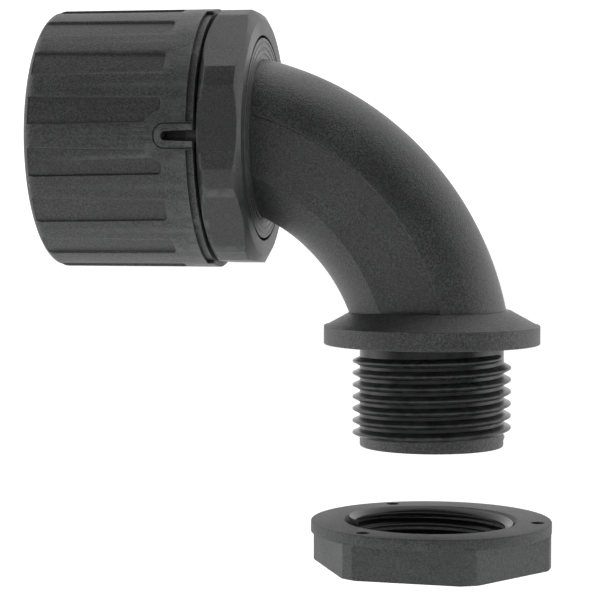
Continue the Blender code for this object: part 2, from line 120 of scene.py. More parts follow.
# Collar, sleeve and cap
COLLAR_RADIUS = 16.4
COLLAR_APOTHEM = 15.6
COLLAR_WIDTH = 5.35
COLLAR_TURN = radians(3.6)
SLEEVE_RADIUS = 14.0
SLEEVE_BORE = 10.8
SNAP_GROOVE_START = 7.05
SNAP_GROOVE_END = 11.75
SNAP_GROOVE_RADIUS = 13.1
CONDUIT_STOP = 8.0
SEAL_POCKET_START = 12.75
SEAL_POCKET_RADIUS = 12.5
SEAL_RADIUS = 12.2
SEAL_WAIST = 11.5
SEAL_LIP = 10.3
CAP_BORE = 14.35
CAP_MOUTH = 10.95
CAP_CORNER = 1.55
SNAP_BEAD_RADIUS = 13.4
MOUTH_DEPTH = 2.4
PANELS = 16
PANEL_DEPTH = 0.3
PANEL_START = 3.85
COLUMNS = 10

AXES = {"X": (1.0, 0.0, 0.0), "Z": (0.0, 0.0, 1.0)}
SOCKET_CENTRE = Vector((SOCKET_X, 0.0, SOCKET_Z)) * MM


# --- Shaping helpers


def softened(corners, steps=4, closed=True):
    """Profile points with each corner rounded to its own third value."""
    points = []
    last = len(corners) - 1
    for index, (along, out, radius) in enumerate(corners):
        corner = Vector((along, out))
        if radius == 0 or (not closed and index in (0, last)):
            points.append(corner)
            continue
        before = Vector(corners[index - 1][:2]) - corner
        after = Vector(corners[(index + 1) % len(corners)][:2]) - corner
        half = before.angle(after) / 2
        reach = min(radius / tan(half), 0.45 * before.length, 0.45 * after.length)
        middle = (before.normalized() + after.normalized()).normalized()
        centre = corner + middle * reach * tan(half) / sin(half)
        first = corner + before.normalized() * reach - centre
        final = corner + after.normalized() * reach - centre
        start = atan2(first.y, first.x)
        sweep = (atan2(final.y, final.x) - start + pi) % (2 * pi) - pi
        for step in range(steps + 1):
            angle = start + sweep * step / steps
            points.append(centre + Vector((cos(angle), sin(angle))) * first.length)
    return points


def socket_point(along, out):
    """A point of a profile round the socket's axis, in metres."""
    return Vector((SOCKET_X - along, 0.0, SOCKET_Z + out)) * MM


def stub_point(height, out):
    """A point of a profile round the thread's axis, in metres."""
    return Vector((out, 0.0, height)) * MM


def even(first, last, count):
    """Evenly spaced values, both ends included."""
    return [first + (last - first) * index / (count - 1) for index in range(count)]


def turned(profile, axis, steps=144, sweep=2 * pi):
    """Spin a closed profile round the socket's axis, "X", or the stub's, "Z"."""
    mesh = bmesh.new()
    point = socket_point if axis == "X" else stub_point
    corners = [mesh.verts.new(point(along, out)) for along, out in profile]
    whole = sweep >= 2 * pi
    edges = [mesh.edges.new((corners[i - 1], corners[i])) for i in range(len(corners))]
    geometry = corners + edges
    if not whole:
        geometry = [mesh.faces.new(corners)]
    bmesh.ops.spin(
        mesh,
        geom=geometry,
        cent=SOCKET_CENTRE if axis == "X" else (0.0, 0.0, 0.0),
        axis=AXES[axis],
        angle=sweep,
        steps=steps,
        use_merge=whole,
    )
    if not whole:
        rim = [edge for edge in mesh.edges if edge.is_boundary]
        bmesh.ops.holes_fill(mesh, edges=rim)
    return mesh


def cut_across(mesh, point, normal, merge, drop_beyond=False):
    """Cut every face that a plane meets, taking corners within the merge distance as on the plane."""
    return bmesh.ops.bisect_plane(
        mesh,
        geom=mesh.verts[:] + mesh.edges[:] + mesh.faces[:],
        dist=merge,
        plane_co=point,
        plane_no=normal,
        clear_outer=drop_beyond,
    )


def sliced(mesh, point, normal):
    """Cut away what lies beyond a plane, close the cut, and give back its edges."""
    cut = cut_across(mesh, point, normal, 1e-9, drop_beyond=True)
    rim = [part for part in cut["geom_cut"] if isinstance(part, bmesh.types.BMEdge)]
    bmesh.ops.edgeloop_fill(mesh, edges=rim)
    return [edge for edge in rim if edge.is_valid]


def bevelled(mesh, edges, width, segments=2):
    """Bevel edges by a width in millimetres."""
    bmesh.ops.bevel(
        mesh,
        geom=edges,
        offset=width * MM,
        offset_type="OFFSET",
        affect="EDGES",
        segments=segments,
        profile=0.5,
        material=-1,
        clamp_overlap=True,
    )


def joined(mesh, other):
    """Put another bmesh's solid into this one."""
    data = bpy.data.meshes.new("joining")
    other.to_mesh(data)
    other.free()
    mesh.from_mesh(data)
    bpy.data.meshes.remove(data)
    return mesh


def with_rows(mesh, axis, levels):
    """Cut rows across wide faces, so that edge wear and painted crease shade stay close to the edges."""
    point = socket_point if axis == "X" else stub_point
    for level in levels:
        cut_across(mesh, point(level, 0.0), AXES[axis], 1e-8)
    return mesh


def with_spokes(mesh, count):
    """Cut planes through the socket's axis, for the same reason."""
    for spoke in range(count):
        angle = pi * (spoke + 0.37) / count
        cut_across(mesh, SOCKET_CENTRE, (0.0, cos(angle), sin(angle)), 1e-8)
    return mesh


def piece(name, mesh, material, body=None, node=None, sharp=35):
    """A finished piece: merged, facing outwards, smooth-shaded, and riding on its body if it has one."""
    bmesh.ops.remove_doubles(mesh, verts=mesh.verts, dist=1e-8)
    bmesh.ops.recalc_face_normals(mesh, faces=mesh.faces)
    data = bpy.data.meshes.new(name)
    mesh.to_mesh(data)
    mesh.free()
    data.shade_smooth()
    data.set_sharp_from_angle(angle=radians(sharp))
    data.materials.append(material)
    item = bpy.data.objects.new(name, data)
    bpy.context.scene.collection.objects.link(item)
    if body:
        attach(item, body)
    if node:
        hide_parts(node)
    return item


def cut_away(item, *tools):
    """Cut tools out of a piece and drop them."""
    for tool in tools:
        cut = item.modifiers.new("cut", "BOOLEAN")
        cut.operation = "DIFFERENCE"
        cut.solver = "EXACT"
        cut.object = tool
    evaluated = item.evaluated_get(bpy.context.evaluated_depsgraph_get())
    result = bpy.data.meshes.new_from_object(evaluated)
    item.modifiers.clear()
    item.data = result
    result.set_sharp_from_angle(angle=radians(32))
    for tool in tools:
        bpy.data.objects.remove(tool, do_unlink=True)
    return item


# --- Finishes


def group_input(tree, name, default):
    """Add a colour or number input to a node group."""
    kind = "NodeSocketColor" if isinstance(default, tuple) else "NodeSocketFloat"
    socket = tree.interface.new_socket(name, in_out="INPUT", socket_type=kind)
    socket.default_value = default
    if kind == "NodeSocketFloat":
        socket.min_value = 0.0
        socket.max_value = 1000000.0


def feed(tree, socket, value):
    """Set a socket to a value, or link it to another node's output."""
    if isinstance(value, bpy.types.NodeSocket):
        tree.links.new(value, socket)
    else:
        socket.default_value = value


def math_node(tree, operation, first, second):
    node = tree.nodes.new("ShaderNodeMath")
    node.operation = operation
    feed(tree, node.inputs[0], first)
    feed(tree, node.inputs[1], second)
    return node.outputs[0]


def noise_node(tree, where, scale, detail=2.0, roughness=0.5):
    node = tree.nodes.new("ShaderNodeTexNoise")
    node.inputs["Detail"].default_value = detail
    node.inputs["Roughness"].default_value = roughness
    tree.links.new(where, node.inputs["Vector"])
    feed(tree, node.inputs["Scale"], scale)
    return node.outputs["Fac"]


def ramp_node(tree, value, low, high, start=0.0, end=1.0):
    """A value's range from low to high, mapped to start to end and held there beyond it."""
    node = tree.nodes.new("ShaderNodeMapRange")
    node.inputs["From Min"].default_value = low
    node.inputs["From Max"].default_value = high
    node.inputs["To Min"].default_value = start
    node.inputs["To Max"].default_value = end
    tree.links.new(value, node.inputs["Value"])
    return node.outputs["Result"]


def mix_colour(tree, factor, first, second):
    node = tree.nodes.new("ShaderNodeMix")
    node.data_type = "RGBA"
    feed(tree, node.inputs[0], factor)
    feed(tree, node.inputs[6], first)
    feed(tree, node.inputs[7], second)
    return node.outputs[2]


def grain_and_painted_crease_shade():
    """Mould texture: pale flecks, dull and shiny patches, painted shade darkening the creases, rubbed edges,
    and grain height.
    """
    tree = bpy.data.node_groups.new("grain_and_painted_crease_shade", "ShaderNodeTree")
    group_input(tree, "Body", (0.02, 0.02, 0.02, 1.0))
    group_input(tree, "Fleck", (0.08, 0.08, 0.08, 1.0))
    group_input(tree, "Grain Scale", 5200.0)
    group_input(tree, "Fleck Amount", 0.5)
    group_input(tree, "Roughness", 0.5)
    group_input(tree, "Edge Rub", 0.3)
    for name, kind in (("Colour", "Color"), ("Roughness", "Float"), ("Height", "Float")):
        tree.interface.new_socket(name, in_out="OUTPUT", socket_type="NodeSocket" + kind)
    given = tree.nodes.new("NodeGroupInput").outputs
    result = tree.nodes.new("NodeGroupOutput").inputs
    place = tree.nodes.new("ShaderNodeTexCoord").outputs["Object"]

    fine = noise_node(tree, place, given["Grain Scale"], 2.0, 0.65)
    coarse = noise_node(tree, place, math_node(tree, "MULTIPLY", given["Grain Scale"], 0.36), 1.0)
    height = math_node(tree, "ADD", fine, math_node(tree, "MULTIPLY", coarse, 0.6))
    flecks = ramp_node(tree, fine, 0.42, 0.60)
    cloud = noise_node(tree, place, 150.0, 3.0)
    amount = math_node(tree, "MULTIPLY", flecks, given["Fleck Amount"])
    amount = math_node(tree, "MULTIPLY", amount, ramp_node(tree, cloud, 0.25, 0.7, 0.6, 1.3))
    colour = mix_colour(tree, amount, given["Body"], given["Fleck"])

    edge = tree.nodes.new("ShaderNodeNewGeometry").outputs["Pointiness"]
    # Painted shade: colour darkened to near black in hollow creases, where pointiness falls below a half,
    # standing in for the shade there.
    painted_crease_shade = math_node(tree, "MULTIPLY", ramp_node(tree, edge, 0.495, 0.44), 0.85)
    colour = mix_colour(tree, painted_crease_shade, colour, (0.002, 0.002, 0.002, 1.0))
    rub = math_node(tree, "MULTIPLY", ramp_node(tree, edge, 0.505, 0.56), given["Edge Rub"])
    patchy = ramp_node(tree, noise_node(tree, place, 900.0), 0.35, 0.6, 0.3, 1.0)
    rub = math_node(tree, "MULTIPLY", rub, patchy)
    colour = mix_colour(tree, rub, colour, given["Fleck"])
    patches = ramp_node(tree, cloud, 0.3, 0.7, -0.05, 0.05)
    roughness = math_node(tree, "ADD", given["Roughness"], patches)

    tree.links.new(colour, result["Colour"])
    tree.links.new(roughness, result["Roughness"])
    tree.links.new(height, result["Height"])
    return tree


GRAIN_AND_CREASE_SHADE = grain_and_painted_crease_shade()
FLECK = (0.085, 0.087, 0.089)


def moulded(name, body, *, scale, flecks, roughness, grain, rub, gloss=0.5):
    """A moulded plastic or rubber with its own colour, grain and shine, and painted shade in its creases."""
    material = bpy.data.materials.new(name)
    material.use_nodes = True
    tree = material.node_tree
    shader = tree.nodes["Principled BSDF"]
    shader.inputs["Specular IOR Level"].default_value = gloss
    finish = tree.nodes.new("ShaderNodeGroup")
    finish.node_tree = GRAIN_AND_CREASE_SHADE
    finish.inputs["Body"].default_value = (*body, 1.0)
    finish.inputs["Fleck"].default_value = (*FLECK, 1.0)
    finish.inputs["Grain Scale"].default_value = scale
    finish.inputs["Fleck Amount"].default_value = flecks
    finish.inputs["Roughness"].default_value = roughness
    finish.inputs["Edge Rub"].default_value = rub
    bump = tree.nodes.new("ShaderNodeBump")
    bump.inputs["Strength"].default_value = grain
    bump.inputs["Distance"].default_value = 0.00006
    tree.links.new(finish.outputs["Colour"], shader.inputs["Base Color"])
    tree.links.new(finish.outputs["Roughness"], shader.inputs["Roughness"])
    tree.links.new(finish.outputs["Height"], bump.inputs["Height"])
    tree.links.new(bump.outputs["Normal"], shader.inputs["Normal"])
    return material


ELBOW_NYLON = moulded(
    "elbow_nylon",
    (0.0100, 0.0102, 0.0104),
    scale=5200.0, flecks=0.52, roughness=0.42, grain=1.0, rub=0.25,
)
FLANGE_NYLON = moulded(
    "flange_nylon",
    (0.0090, 0.0092, 0.0094),
    scale=4600.0, flecks=0.55, roughness=0.46, grain=1.4, rub=0.2,
)
# Painted shade: a darker copy of the flange nylon. Its darker colour stands in for the shade in the thread
# roots, inside the nut and under the flange, while its smoother, glossier finish is the thread's own.
SHADED_THREAD_NYLON = moulded(
    "thread_nylon_painted_shade",
    (0.0040, 0.0041, 0.0042),
    scale=3600.0, flecks=0.05, roughness=0.3, grain=0.15, rub=0.45, gloss=0.28,
)
HEAD_NYLON = moulded(
    "head_nylon",
    (0.0110, 0.0113, 0.0114),
    scale=5600.0, flecks=0.32, roughness=0.45, grain=0.5, rub=0.6,
)
CAP_NYLON = moulded(
    "cap_nylon",
    (0.0090, 0.0092, 0.0094),
    scale=5200.0, flecks=0.50, roughness=0.5, grain=1.5, rub=0.7,
)
NUT_NYLON = moulded(
    "locknut_nylon",
    (0.0220, 0.0225, 0.0229),
    scale=4400.0, flecks=0.55, roughness=0.6, grain=1.0, rub=0.25,
)
SEAL_RUBBER = moulded(
    "seal_rubber",
    (0.012, 0.012, 0.012),
    scale=3000.0, flecks=0.10, roughness=0.72, grain=0.3, rub=0.1, gloss=0.35,
)
RING_NYLON = moulded(
    "thrust_ring_nylon",
    (0.020, 0.020, 0.021),
    scale=4200.0, flecks=0.15, roughness=0.45, grain=0.3, rub=0.2,
)
CLAW_ACETAL = moulded(
    "claw_ring_acetal",
    (0.014, 0.014, 0.015),
    scale=3200.0, flecks=0.06, roughness=0.30, grain=0.15, rub=0.3,
)


# --- Elbow: curved tube, weld disc, flange, threaded stub


def bend_place(out, angle):
    """A point of the elbow's mid-plane at a radius and angle round the bend's centre, in metres."""
    return Vector((BEND_X + out * cos(angle), 0.0, BEND_Z + out * sin(angle))) * MM


def tube_outline():
    """Section of the tube as (outwards from the bend, sideways), with a shallow flat on each side."""
    flat_top = radians(15.2)
    flat_foot = radians(-29.9)
    step_down = 0.45
    outer = [(TUBE_RADIUS * sin(a), TUBE_RADIUS * cos(a), 0.0) for a in even(pi / 2, flat_top, 26)]
    inner = [(TUBE_RADIUS * sin(a), TUBE_RADIUS * cos(a), 0.0) for a in even(flat_foot, -pi / 2, 20)]
    edge = outer[-1]
    outer[-1] = (edge[0], edge[1], 0.16)
    inner[0] = (inner[0][0], inner[0][1], 0.25)
    one_side = outer + [(edge[0] - 0.05, edge[1] - step_down, 0.14)] + inner
    other_side = [(out, -side, radius) for out, side, radius in one_side[-2:0:-1]]
    return softened(one_side + other_side, steps=3)


def bent_skin(outline, first, last, steps):
    """An open skin swept round the bend."""
    mesh = bmesh.new()
    corners = []
    for out, side in outline:
        place = bend_place(BEND_RADIUS + out, first)
        corners.append(mesh.verts.new((place.x, side * MM, place.z)))
    edges = [mesh.edges.new((corners[i - 1], corners[i])) for i in range(len(corners))]
    bmesh.ops.spin(
        mesh,
        geom=corners + edges,
        cent=Vector((BEND_X, 0.0, BEND_Z)) * MM,
        axis=(0.0, -1.0, 0.0),
        angle=last - first,
        steps=steps,
    )
    return mesh


def curved_tube():
    """Hollow tube: outer skin with its side flats, round passage, and closed end walls."""
    overrun = radians(6)
    bore = [(PASSAGE_RADIUS * sin(a), PASSAGE_RADIUS * cos(a)) for a in even(0, 2 * pi * 63 / 64, 64)]
    mesh = bent_skin(tube_outline(), BEND_START, BEND_END + overrun, 72)
    joined(mesh, bent_skin(bore, BEND_START, BEND_END + overrun, 72))
    inside_disc = Vector((SOCKET_X - DISC_DEPTH / 2, 0.0, 0.0)) * MM
    cut_across(mesh, inside_disc, (-1.0, 0.0, 0.0), 1e-9, drop_beyond=True)
    for near_disc in (True, False):
        rim = [
            edge
            for edge in mesh.edges
            if edge.is_boundary and (edge.verts[0].co.z > 0.5 * SOCKET_Z * MM) == near_disc
        ]
        bmesh.ops.bridge_loops(mesh, edges=rim)
    return mesh


def weld_disc():
    """Disc on the tube's end, with fine rings sunk in its face."""
    face = [(0.0, PASSAGE_RADIUS, 0.0)]
    for ring in DISC_RINGS:
        face += [(0.0, ring - 0.13, 0.0), (0.0, ring, 0.0), (RING_DEPTH, ring + 0.05, 0.0)]
        face += [(RING_DEPTH, ring + 0.3, 0.0), (0.0, ring + 0.36, 0.0)]
    face += [(0.0, DISC_RADIUS, 0.12), (DISC_DEPTH, DISC_RADIUS, 0.4), (DISC_DEPTH, PASSAGE_RADIUS, 0.1)]
    return turned(softened(face, 3), "X")


def panel_flange():
    """Flange with a straight rim and a shallow cone above it, relieved round the thread below."""
    relief_edge = CREST_RADIUS + 0.25
    profile = [
        (SEAT_RELIEF, PASSAGE_RADIUS + 0.15, 0.0),
        (SEAT_RELIEF, relief_edge, 0.06),
        (0.0, relief_edge, 0.06),
        (0.0, FLANGE_RADIUS, 0.12),
        (FLANGE_RIM, FLANGE_RADIUS, 0.10),
        (FLANGE_RIM, FLANGE_RADIUS - 0.35, 0.06),
        (FLANGE_RIM + 0.10, FLANGE_RADIUS - 0.50, 0.1),
        (FLANGE_TOP, TUBE_RADIUS + 0.35, 0.15),
        (FLANGE_TOP, TUBE_RADIUS - 1.2, 0.0),
        (2.2, PASSAGE_RADIUS + 0.15, 0.0),
    ]
    return with_rows(turned(softened(profile, 3), "Z"), "Z", even(0.4, 4.0, 17))


def threaded_stub():
    """Plain tube under the thread, from its lead-in up into the flange."""
    profile = [
        (STUB_END, PASSAGE_RADIUS, 0.25),
        (STUB_END, ROOT_RADIUS, 0.22),
        (LEAD_IN_TOP, ROOT_RADIUS, 0.0),
        (1.0, ROOT_RADIUS, 0.0),
        (3.4, TUBE_RADIUS - 1.0, 0.0),
        (3.4, PASSAGE_RADIUS, 0.0),
    ]
    return turned(softened(profile, 4), "Z")


def helix_ridge(foot, turns, outline, buried, fade_steps):
    """Right-hand helical ridge whose two ends fade into the wall at the buried radius."""
    mesh = bmesh.new()
    section = mesh.faces.new([mesh.verts.new(stub_point(foot + rise, out)) for out, rise in outline])
    steps = round(turns * THREAD_STEPS)
    bmesh.ops.spin(
        mesh,
        geom=[section],
        cent=(0.0, 0.0, 0.0),
        axis=(0.0, 0.0, 1.0),
        dvec=(0.0, 0.0, PITCH * MM / THREAD_STEPS),
        angle=2 * pi * turns,
        steps=steps,
    )
    count = len(outline)
    for number, vert in enumerate(mesh.verts):
        from_end = min(number // count, steps - number // count)
        if from_end < fade_steps:
            share = sin(0.5 * pi * from_end / fade_steps)
            out = vert.co.xy.length
            target = buried * MM + (out - buried * MM) * share
            vert.co.xy *= target / out
    bmesh.ops.holes_fill(mesh, edges=[edge for edge in mesh.edges if edge.is_boundary])
    return mesh


def male_thread():
    buried = ROOT_RADIUS - 0.3
    outline = [
        (buried, -0.71),
        (ROOT_RADIUS + 0.06, -0.54),
        (CREST_RADIUS - 0.05, -0.15),
        (CREST_RADIUS, -0.09),
        (CREST_RADIUS, 0.09),
        (CREST_RADIUS - 0.05, 0.15),
        (ROOT_RADIUS + 0.06, 0.54),
        (buried, 0.71),
    ]
    return helix_ridge(THREAD_FOOT, TURNS, outline, buried, 9)


tube = joined(curved_tube(), weld_disc())
piece("elbow_tube", tube, ELBOW_NYLON, "fitting", "elbow_body", sharp=28)
piece("panel_flange", panel_flange(), FLANGE_NYLON, "fitting")
stub = piece("threaded_stub", threaded_stub(), FLANGE_NYLON, "fitting")
# Painted shade: the stub's faces above the lead-in take the darker thread nylon for the shade under the
# flange and between the crests. The lead-in keeps the flange nylon.
stub.data.materials.append(SHADED_THREAD_NYLON)
for face in stub.data.polygons:
    face.material_index = int(face.center.z > LEAD_IN_TOP * MM)
piece("male_thread", male_thread(), SHADED_THREAD_NYLON, "fitting", sharp=50)


# --- Socket head: octagonal collar and the sleeve inside the cap


def octagonal_head():
    """Collar with eight flats, and the sleeve inside the cap with its snap groove and seal pocket."""
    recess_depth = DISC_DEPTH + GAP
    recess_radius = DISC_RADIUS + GAP
    profile = [
        (0.0, recess_radius, 0.15),
        (0.0, COLLAR_RADIUS - 1.5, 0.15),
        (0.85, COLLAR_RADIUS, 0.12),
        (COLLAR_WIDTH - 0.8, COLLAR_RADIUS, 0.12),
        (COLLAR_WIDTH, COLLAR_RADIUS - 0.8, 0.12),
        (COLLAR_WIDTH, SLEEVE_RADIUS, 0.1),
        (SNAP_GROOVE_START, SLEEVE_RADIUS, 0.1),
        (SNAP_GROOVE_START, SNAP_GROOVE_RADIUS, 0.1),
        (SNAP_GROOVE_END, SNAP_GROOVE_RADIUS, 0.1),
        (SNAP_GROOVE_END, SLEEVE_RADIUS, 0.1),
        (SLEEVE_END, SLEEVE_RADIUS, 0.35),
        (SLEEVE_END, SEAL_POCKET_RADIUS, 0.12),
        (SEAL_POCKET_START, SEAL_POCKET_RADIUS, 0.1),
        (SEAL_POCKET_START, SLEEVE_BORE, 0.12),
        (CONDUIT_STOP, SLEEVE_BORE, 0.2),
        (CONDUIT_STOP, PASSAGE_RADIUS, 0.25),
        (recess_depth, PASSAGE_RADIUS, 0.0),
        (recess_depth, recess_radius, 0.0),
    ]
    mesh = turned(softened(profile, 3), "X")
    bmesh.ops.recalc_face_normals(mesh, faces=mesh.faces)
    for side in range(8):
        angle = COLLAR_TURN + pi * side / 4
        outward = Vector((0.0, -cos(angle), sin(angle)))
        rim = sliced(mesh, SOCKET_CENTRE + outward * COLLAR_APOTHEM * MM, outward)
        bevelled(mesh, rim, 0.09)
    return with_spokes(with_rows(mesh, "X", even(0.5, COLLAR_WIDTH - 0.3, 11)), 60)


def parting_flash():
    """Thin moulding flash where the mould halves met, on the collar's front and back flats."""
    mesh = bmesh.new()
    for side in (-1, 1):
        turn = COLLAR_TURN if side < 0 else COLLAR_TURN + pi
        outward = Vector((0.0, -cos(turn), sin(turn)))
        upward = Vector((0.0, sin(turn), cos(turn))) * (1 if side < 0 else -1)
        centre = SOCKET_CENTRE + (outward * COLLAR_APOTHEM - upward * 2.9) * MM
        centre.x -= 0.5 * (COLLAR_WIDTH - 0.1) * MM
        frame_axes = Matrix((Vector((1.0, 0.0, 0.0)), upward, outward)).transposed().to_4x4()
        size = Matrix.Diagonal(((COLLAR_WIDTH - 1.9) * MM, 0.07 * MM, 0.09 * MM, 1.0))
        bmesh.ops.create_cube(mesh, size=1.0, matrix=Matrix.Translation(centre) @ frame_axes @ size)
    bevelled(mesh, mesh.edges[:], 0.02, 1)
    return mesh


piece("octagonal_head", octagonal_head(), HEAD_NYLON, "fitting", "socket_head", sharp=28)
piece("parting_flash", parting_flash(), FLANGE_NYLON, "fitting")


# --- Seal, thrust ring and claws inside the socket


def lipped_seal():
    """Rubber ring with two lips inside."""
    profile = [
        (SEAL_START, SEAL_RADIUS, 0.2),
        (SEAL_END, SEAL_RADIUS, 0.2),
        (SEAL_END, SEAL_WAIST, 0.1),
        (SEAL_END - 0.4, SEAL_LIP, 0.12),
        (SEAL_END - 0.8, SEAL_LIP, 0.12),
        ((SEAL_START + SEAL_END) / 2, SEAL_WAIST, 0.25),
        (SEAL_START + 0.8, SEAL_LIP, 0.12),
        (SEAL_START + 0.4, SEAL_LIP, 0.12),
        (SEAL_START, SEAL_WAIST, 0.1),
    ]
    return turned(softened(profile, 4), "X", 128)


def thrust_washer():
    profile = [
        (THRUST_START, SLEEVE_BORE, 0.12),
        (THRUST_START, SLEEVE_RADIUS, 0.35),
        (THRUST_END, SLEEVE_RADIUS, 0.1),
        (THRUST_END, SLEEVE_BORE, 0.12),
    ]
    return turned(softened(profile, 4), "X", 128)


def sprung_claws():
    """Split base ring with eight fingers, each with hooked teeth inside."""
    shoulder = CLAW_START + 2.0
    outer = CAP_BORE - GAP
    base = [
        (CLAW_START, SLEEVE_BORE, 0.12),
        (CLAW_START, outer, 0.2),
        (shoulder, outer, 0.15),
        (shoulder + 0.05, SLEEVE_BORE, 0.05),
    ]
    finger = [
        (shoulder - 0.3, outer - 0.35, 0.0),
        (shoulder + 0.1, outer - 0.12, 0.0),
        (CLAW_END, 11.9, 0.15),
        (CLAW_END, 9.75, 0.1),
        (CLAW_END - 0.9, 9.75, 0.1),
        (CLAW_END - 1.15, 10.2, 0.05),
        (CLAW_END - 1.9, 9.95, 0.08),
        (CLAW_END - 2.15, 10.45, 0.05),
        (CLAW_END - 2.9, 10.25, 0.08),
        (CLAW_END - 3.15, 10.7, 0.05),
        (shoulder - 0.3, SLEEVE_BORE + 0.05, 0.0),
    ]
    split = 2.0 / SLEEVE_BORE
    mesh = turned(softened(base, 3), "X", 110, 2 * pi - split)
    bmesh.ops.rotate(mesh, cent=SOCKET_CENTRE, matrix=Matrix.Rotation(split / 2, 3, "X"), verts=mesh.verts)
    gap = 1.2 / SLEEVE_BORE
    for number in range(8):
        each = turned(softened(finger, 2), "X", 14, pi / 4 - gap)
        turn = Matrix.Rotation(gap / 2 + pi / 4 * number, 3, "X")
        bmesh.ops.rotate(each, cent=SOCKET_CENTRE, matrix=turn, verts=each.verts)
        joined(mesh, each)
    return mesh


piece("lipped_seal", lipped_seal(), SEAL_RUBBER, "fitting", "conduit_seal")
piece("thrust_washer", thrust_washer(), RING_NYLON, "fitting", "thrust_ring")
piece("sprung_claws", sprung_claws(), CLAW_ACETAL, "grip", "claw_ring")


# --- Cap with finger panels, snap slots and rim steps


def panel_outline(cut_side):
    """A finger panel as (along, sideways): it narrows towards the rim, with round corners there.

    cut_side is -1 or 1 where a slot is beside the panel and the corner on that side is cut away, or 0.
    """
    tip = PANEL_START
    end = CAP_END - CAP_START - CAP_CORNER + CAP_CORNER * acos(1 - PANEL_DEPTH / CAP_CORNER)
    wide = CAP_RADIUS * radians(6.45)
    narrow = CAP_RADIUS * radians(5.45)
    corners = [(end, -wide, 0.0)]
    for side in (-1, 1):
        if side == cut_side:
            cut = [(tip + 2.1, side * narrow * 1.02, 0.4), (tip + 0.95, side * narrow * 0.30, 0.6)]
            cut.append((tip, side * narrow * 0.02, 0.35))
        else:
            cut = [(tip, side * narrow, 0.62)]
        corners += cut if side < 0 else cut[::-1]
    corners.append((end, wide, 0.0))
    return softened(corners, 5, closed=False)


def within(point, loop):
    """True if a flat point lies inside a loop of vertices."""
    crossings = 0
    for index, vert in enumerate(loop):
        first, second = loop[index - 1].co, vert.co
        if (first.y > point.y) != (second.y > point.y):
            share = (point.y - first.y) / (second.y - first.y)
            crossings += point.x < first.x + share * (second.x - first.x)
    return crossings % 2 == 1


def sector_sheet(cut_side, skin):
    """One flat sixteenth of the cap's side, in millimetres, with its finger panel pressed in."""
    mesh = bmesh.new()
    half = CAP_RADIUS * pi / PANELS
    sheet_end = skin[-1][2]
    border = [
        mesh.verts.new((along, side, 0.0))
        for along, side in ((0.0, -half), (sheet_end, -half), (sheet_end, half), (0.0, half))
    ]
    panel = [mesh.verts.new((along, side, 0.0)) for along, side in panel_outline(cut_side)]
    for loop in (border, panel):
        for index in range(len(loop)):
            mesh.edges.new((loop[index - 1], loop[index]))
    bmesh.ops.triangle_fill(mesh, use_beauty=True, edges=mesh.edges[:])
    covered = [face for face in mesh.faces if within(face.calc_center_median(), panel)]
    bmesh.ops.delete(mesh, geom=covered, context="FACES_ONLY")
    inside = [mesh.faces.new(panel)]
    bmesh.ops.recalc_face_normals(mesh, faces=mesh.faces)
    if inside[0].normal.z < 0:
        bmesh.ops.reverse_faces(mesh, faces=mesh.faces)
    for width, depth in ((0.05, -0.03), (0.04, -0.08), (0.03, -0.12), (0.04, -0.05), (0.05, -0.02)):
        bmesh.ops.inset_region(
            mesh, faces=inside, thickness=width, depth=0.0, use_even_offset=True, use_boundary=True
        )
        moved = {vert for face in inside for vert in face.verts}
        bmesh.ops.translate(mesh, verts=list(moved), vec=(0.0, 0.0, depth))
    for column in range(1, COLUMNS):
        cut_across(mesh, (0.0, half * (2 * column / COLUMNS - 1), 0.0), (0.0, 1.0, 0.0), 1e-5)
    for row in skin[1:-1]:
        cut_across(mesh, (row[2], 0.0, 0.0), (1.0, 0.0, 0.0), 1e-5)
    return mesh


def skin_line():
    """The cap's outer profile as (along, radius, length along the profile), from the rim to the end face."""
    points = [(CAP_START, CAP_RADIUS)]
    corner = (CAP_END - CAP_CORNER, CAP_RADIUS - CAP_CORNER)
    for angle in even(pi / 2, 0.0, 19):
        points.append((corner[0] + CAP_CORNER * cos(angle), corner[1] + CAP_CORNER * sin(angle)))
    line = [(*points[0], 0.0)]
    for before, after in zip(points, points[1:]):
        length = line[-1][2] + (Vector(after) - Vector(before)).length
        line.append((*after, length))
    return line


def wrapped(mesh, skin, turn):
    """Bend a flat sheet round the cap, following its outer profile."""
    for vert in mesh.verts:
        along, side, depth = vert.co
        for before, after in zip(skin, skin[1:]):
            if along <= after[2] + 1e-6:
                break
        share = (along - before[2]) / (after[2] - before[2])
        where = before[0] + (after[0] - before[0]) * share
        radius = before[1] + (after[1] - before[1]) * share
        radius = min(radius, CAP_RADIUS + depth)
        angle = turn + side / CAP_RADIUS
        vert.co = Vector((SOCKET_X - where, -radius * cos(angle), SOCKET_Z + radius * sin(angle))) * MM
    return mesh


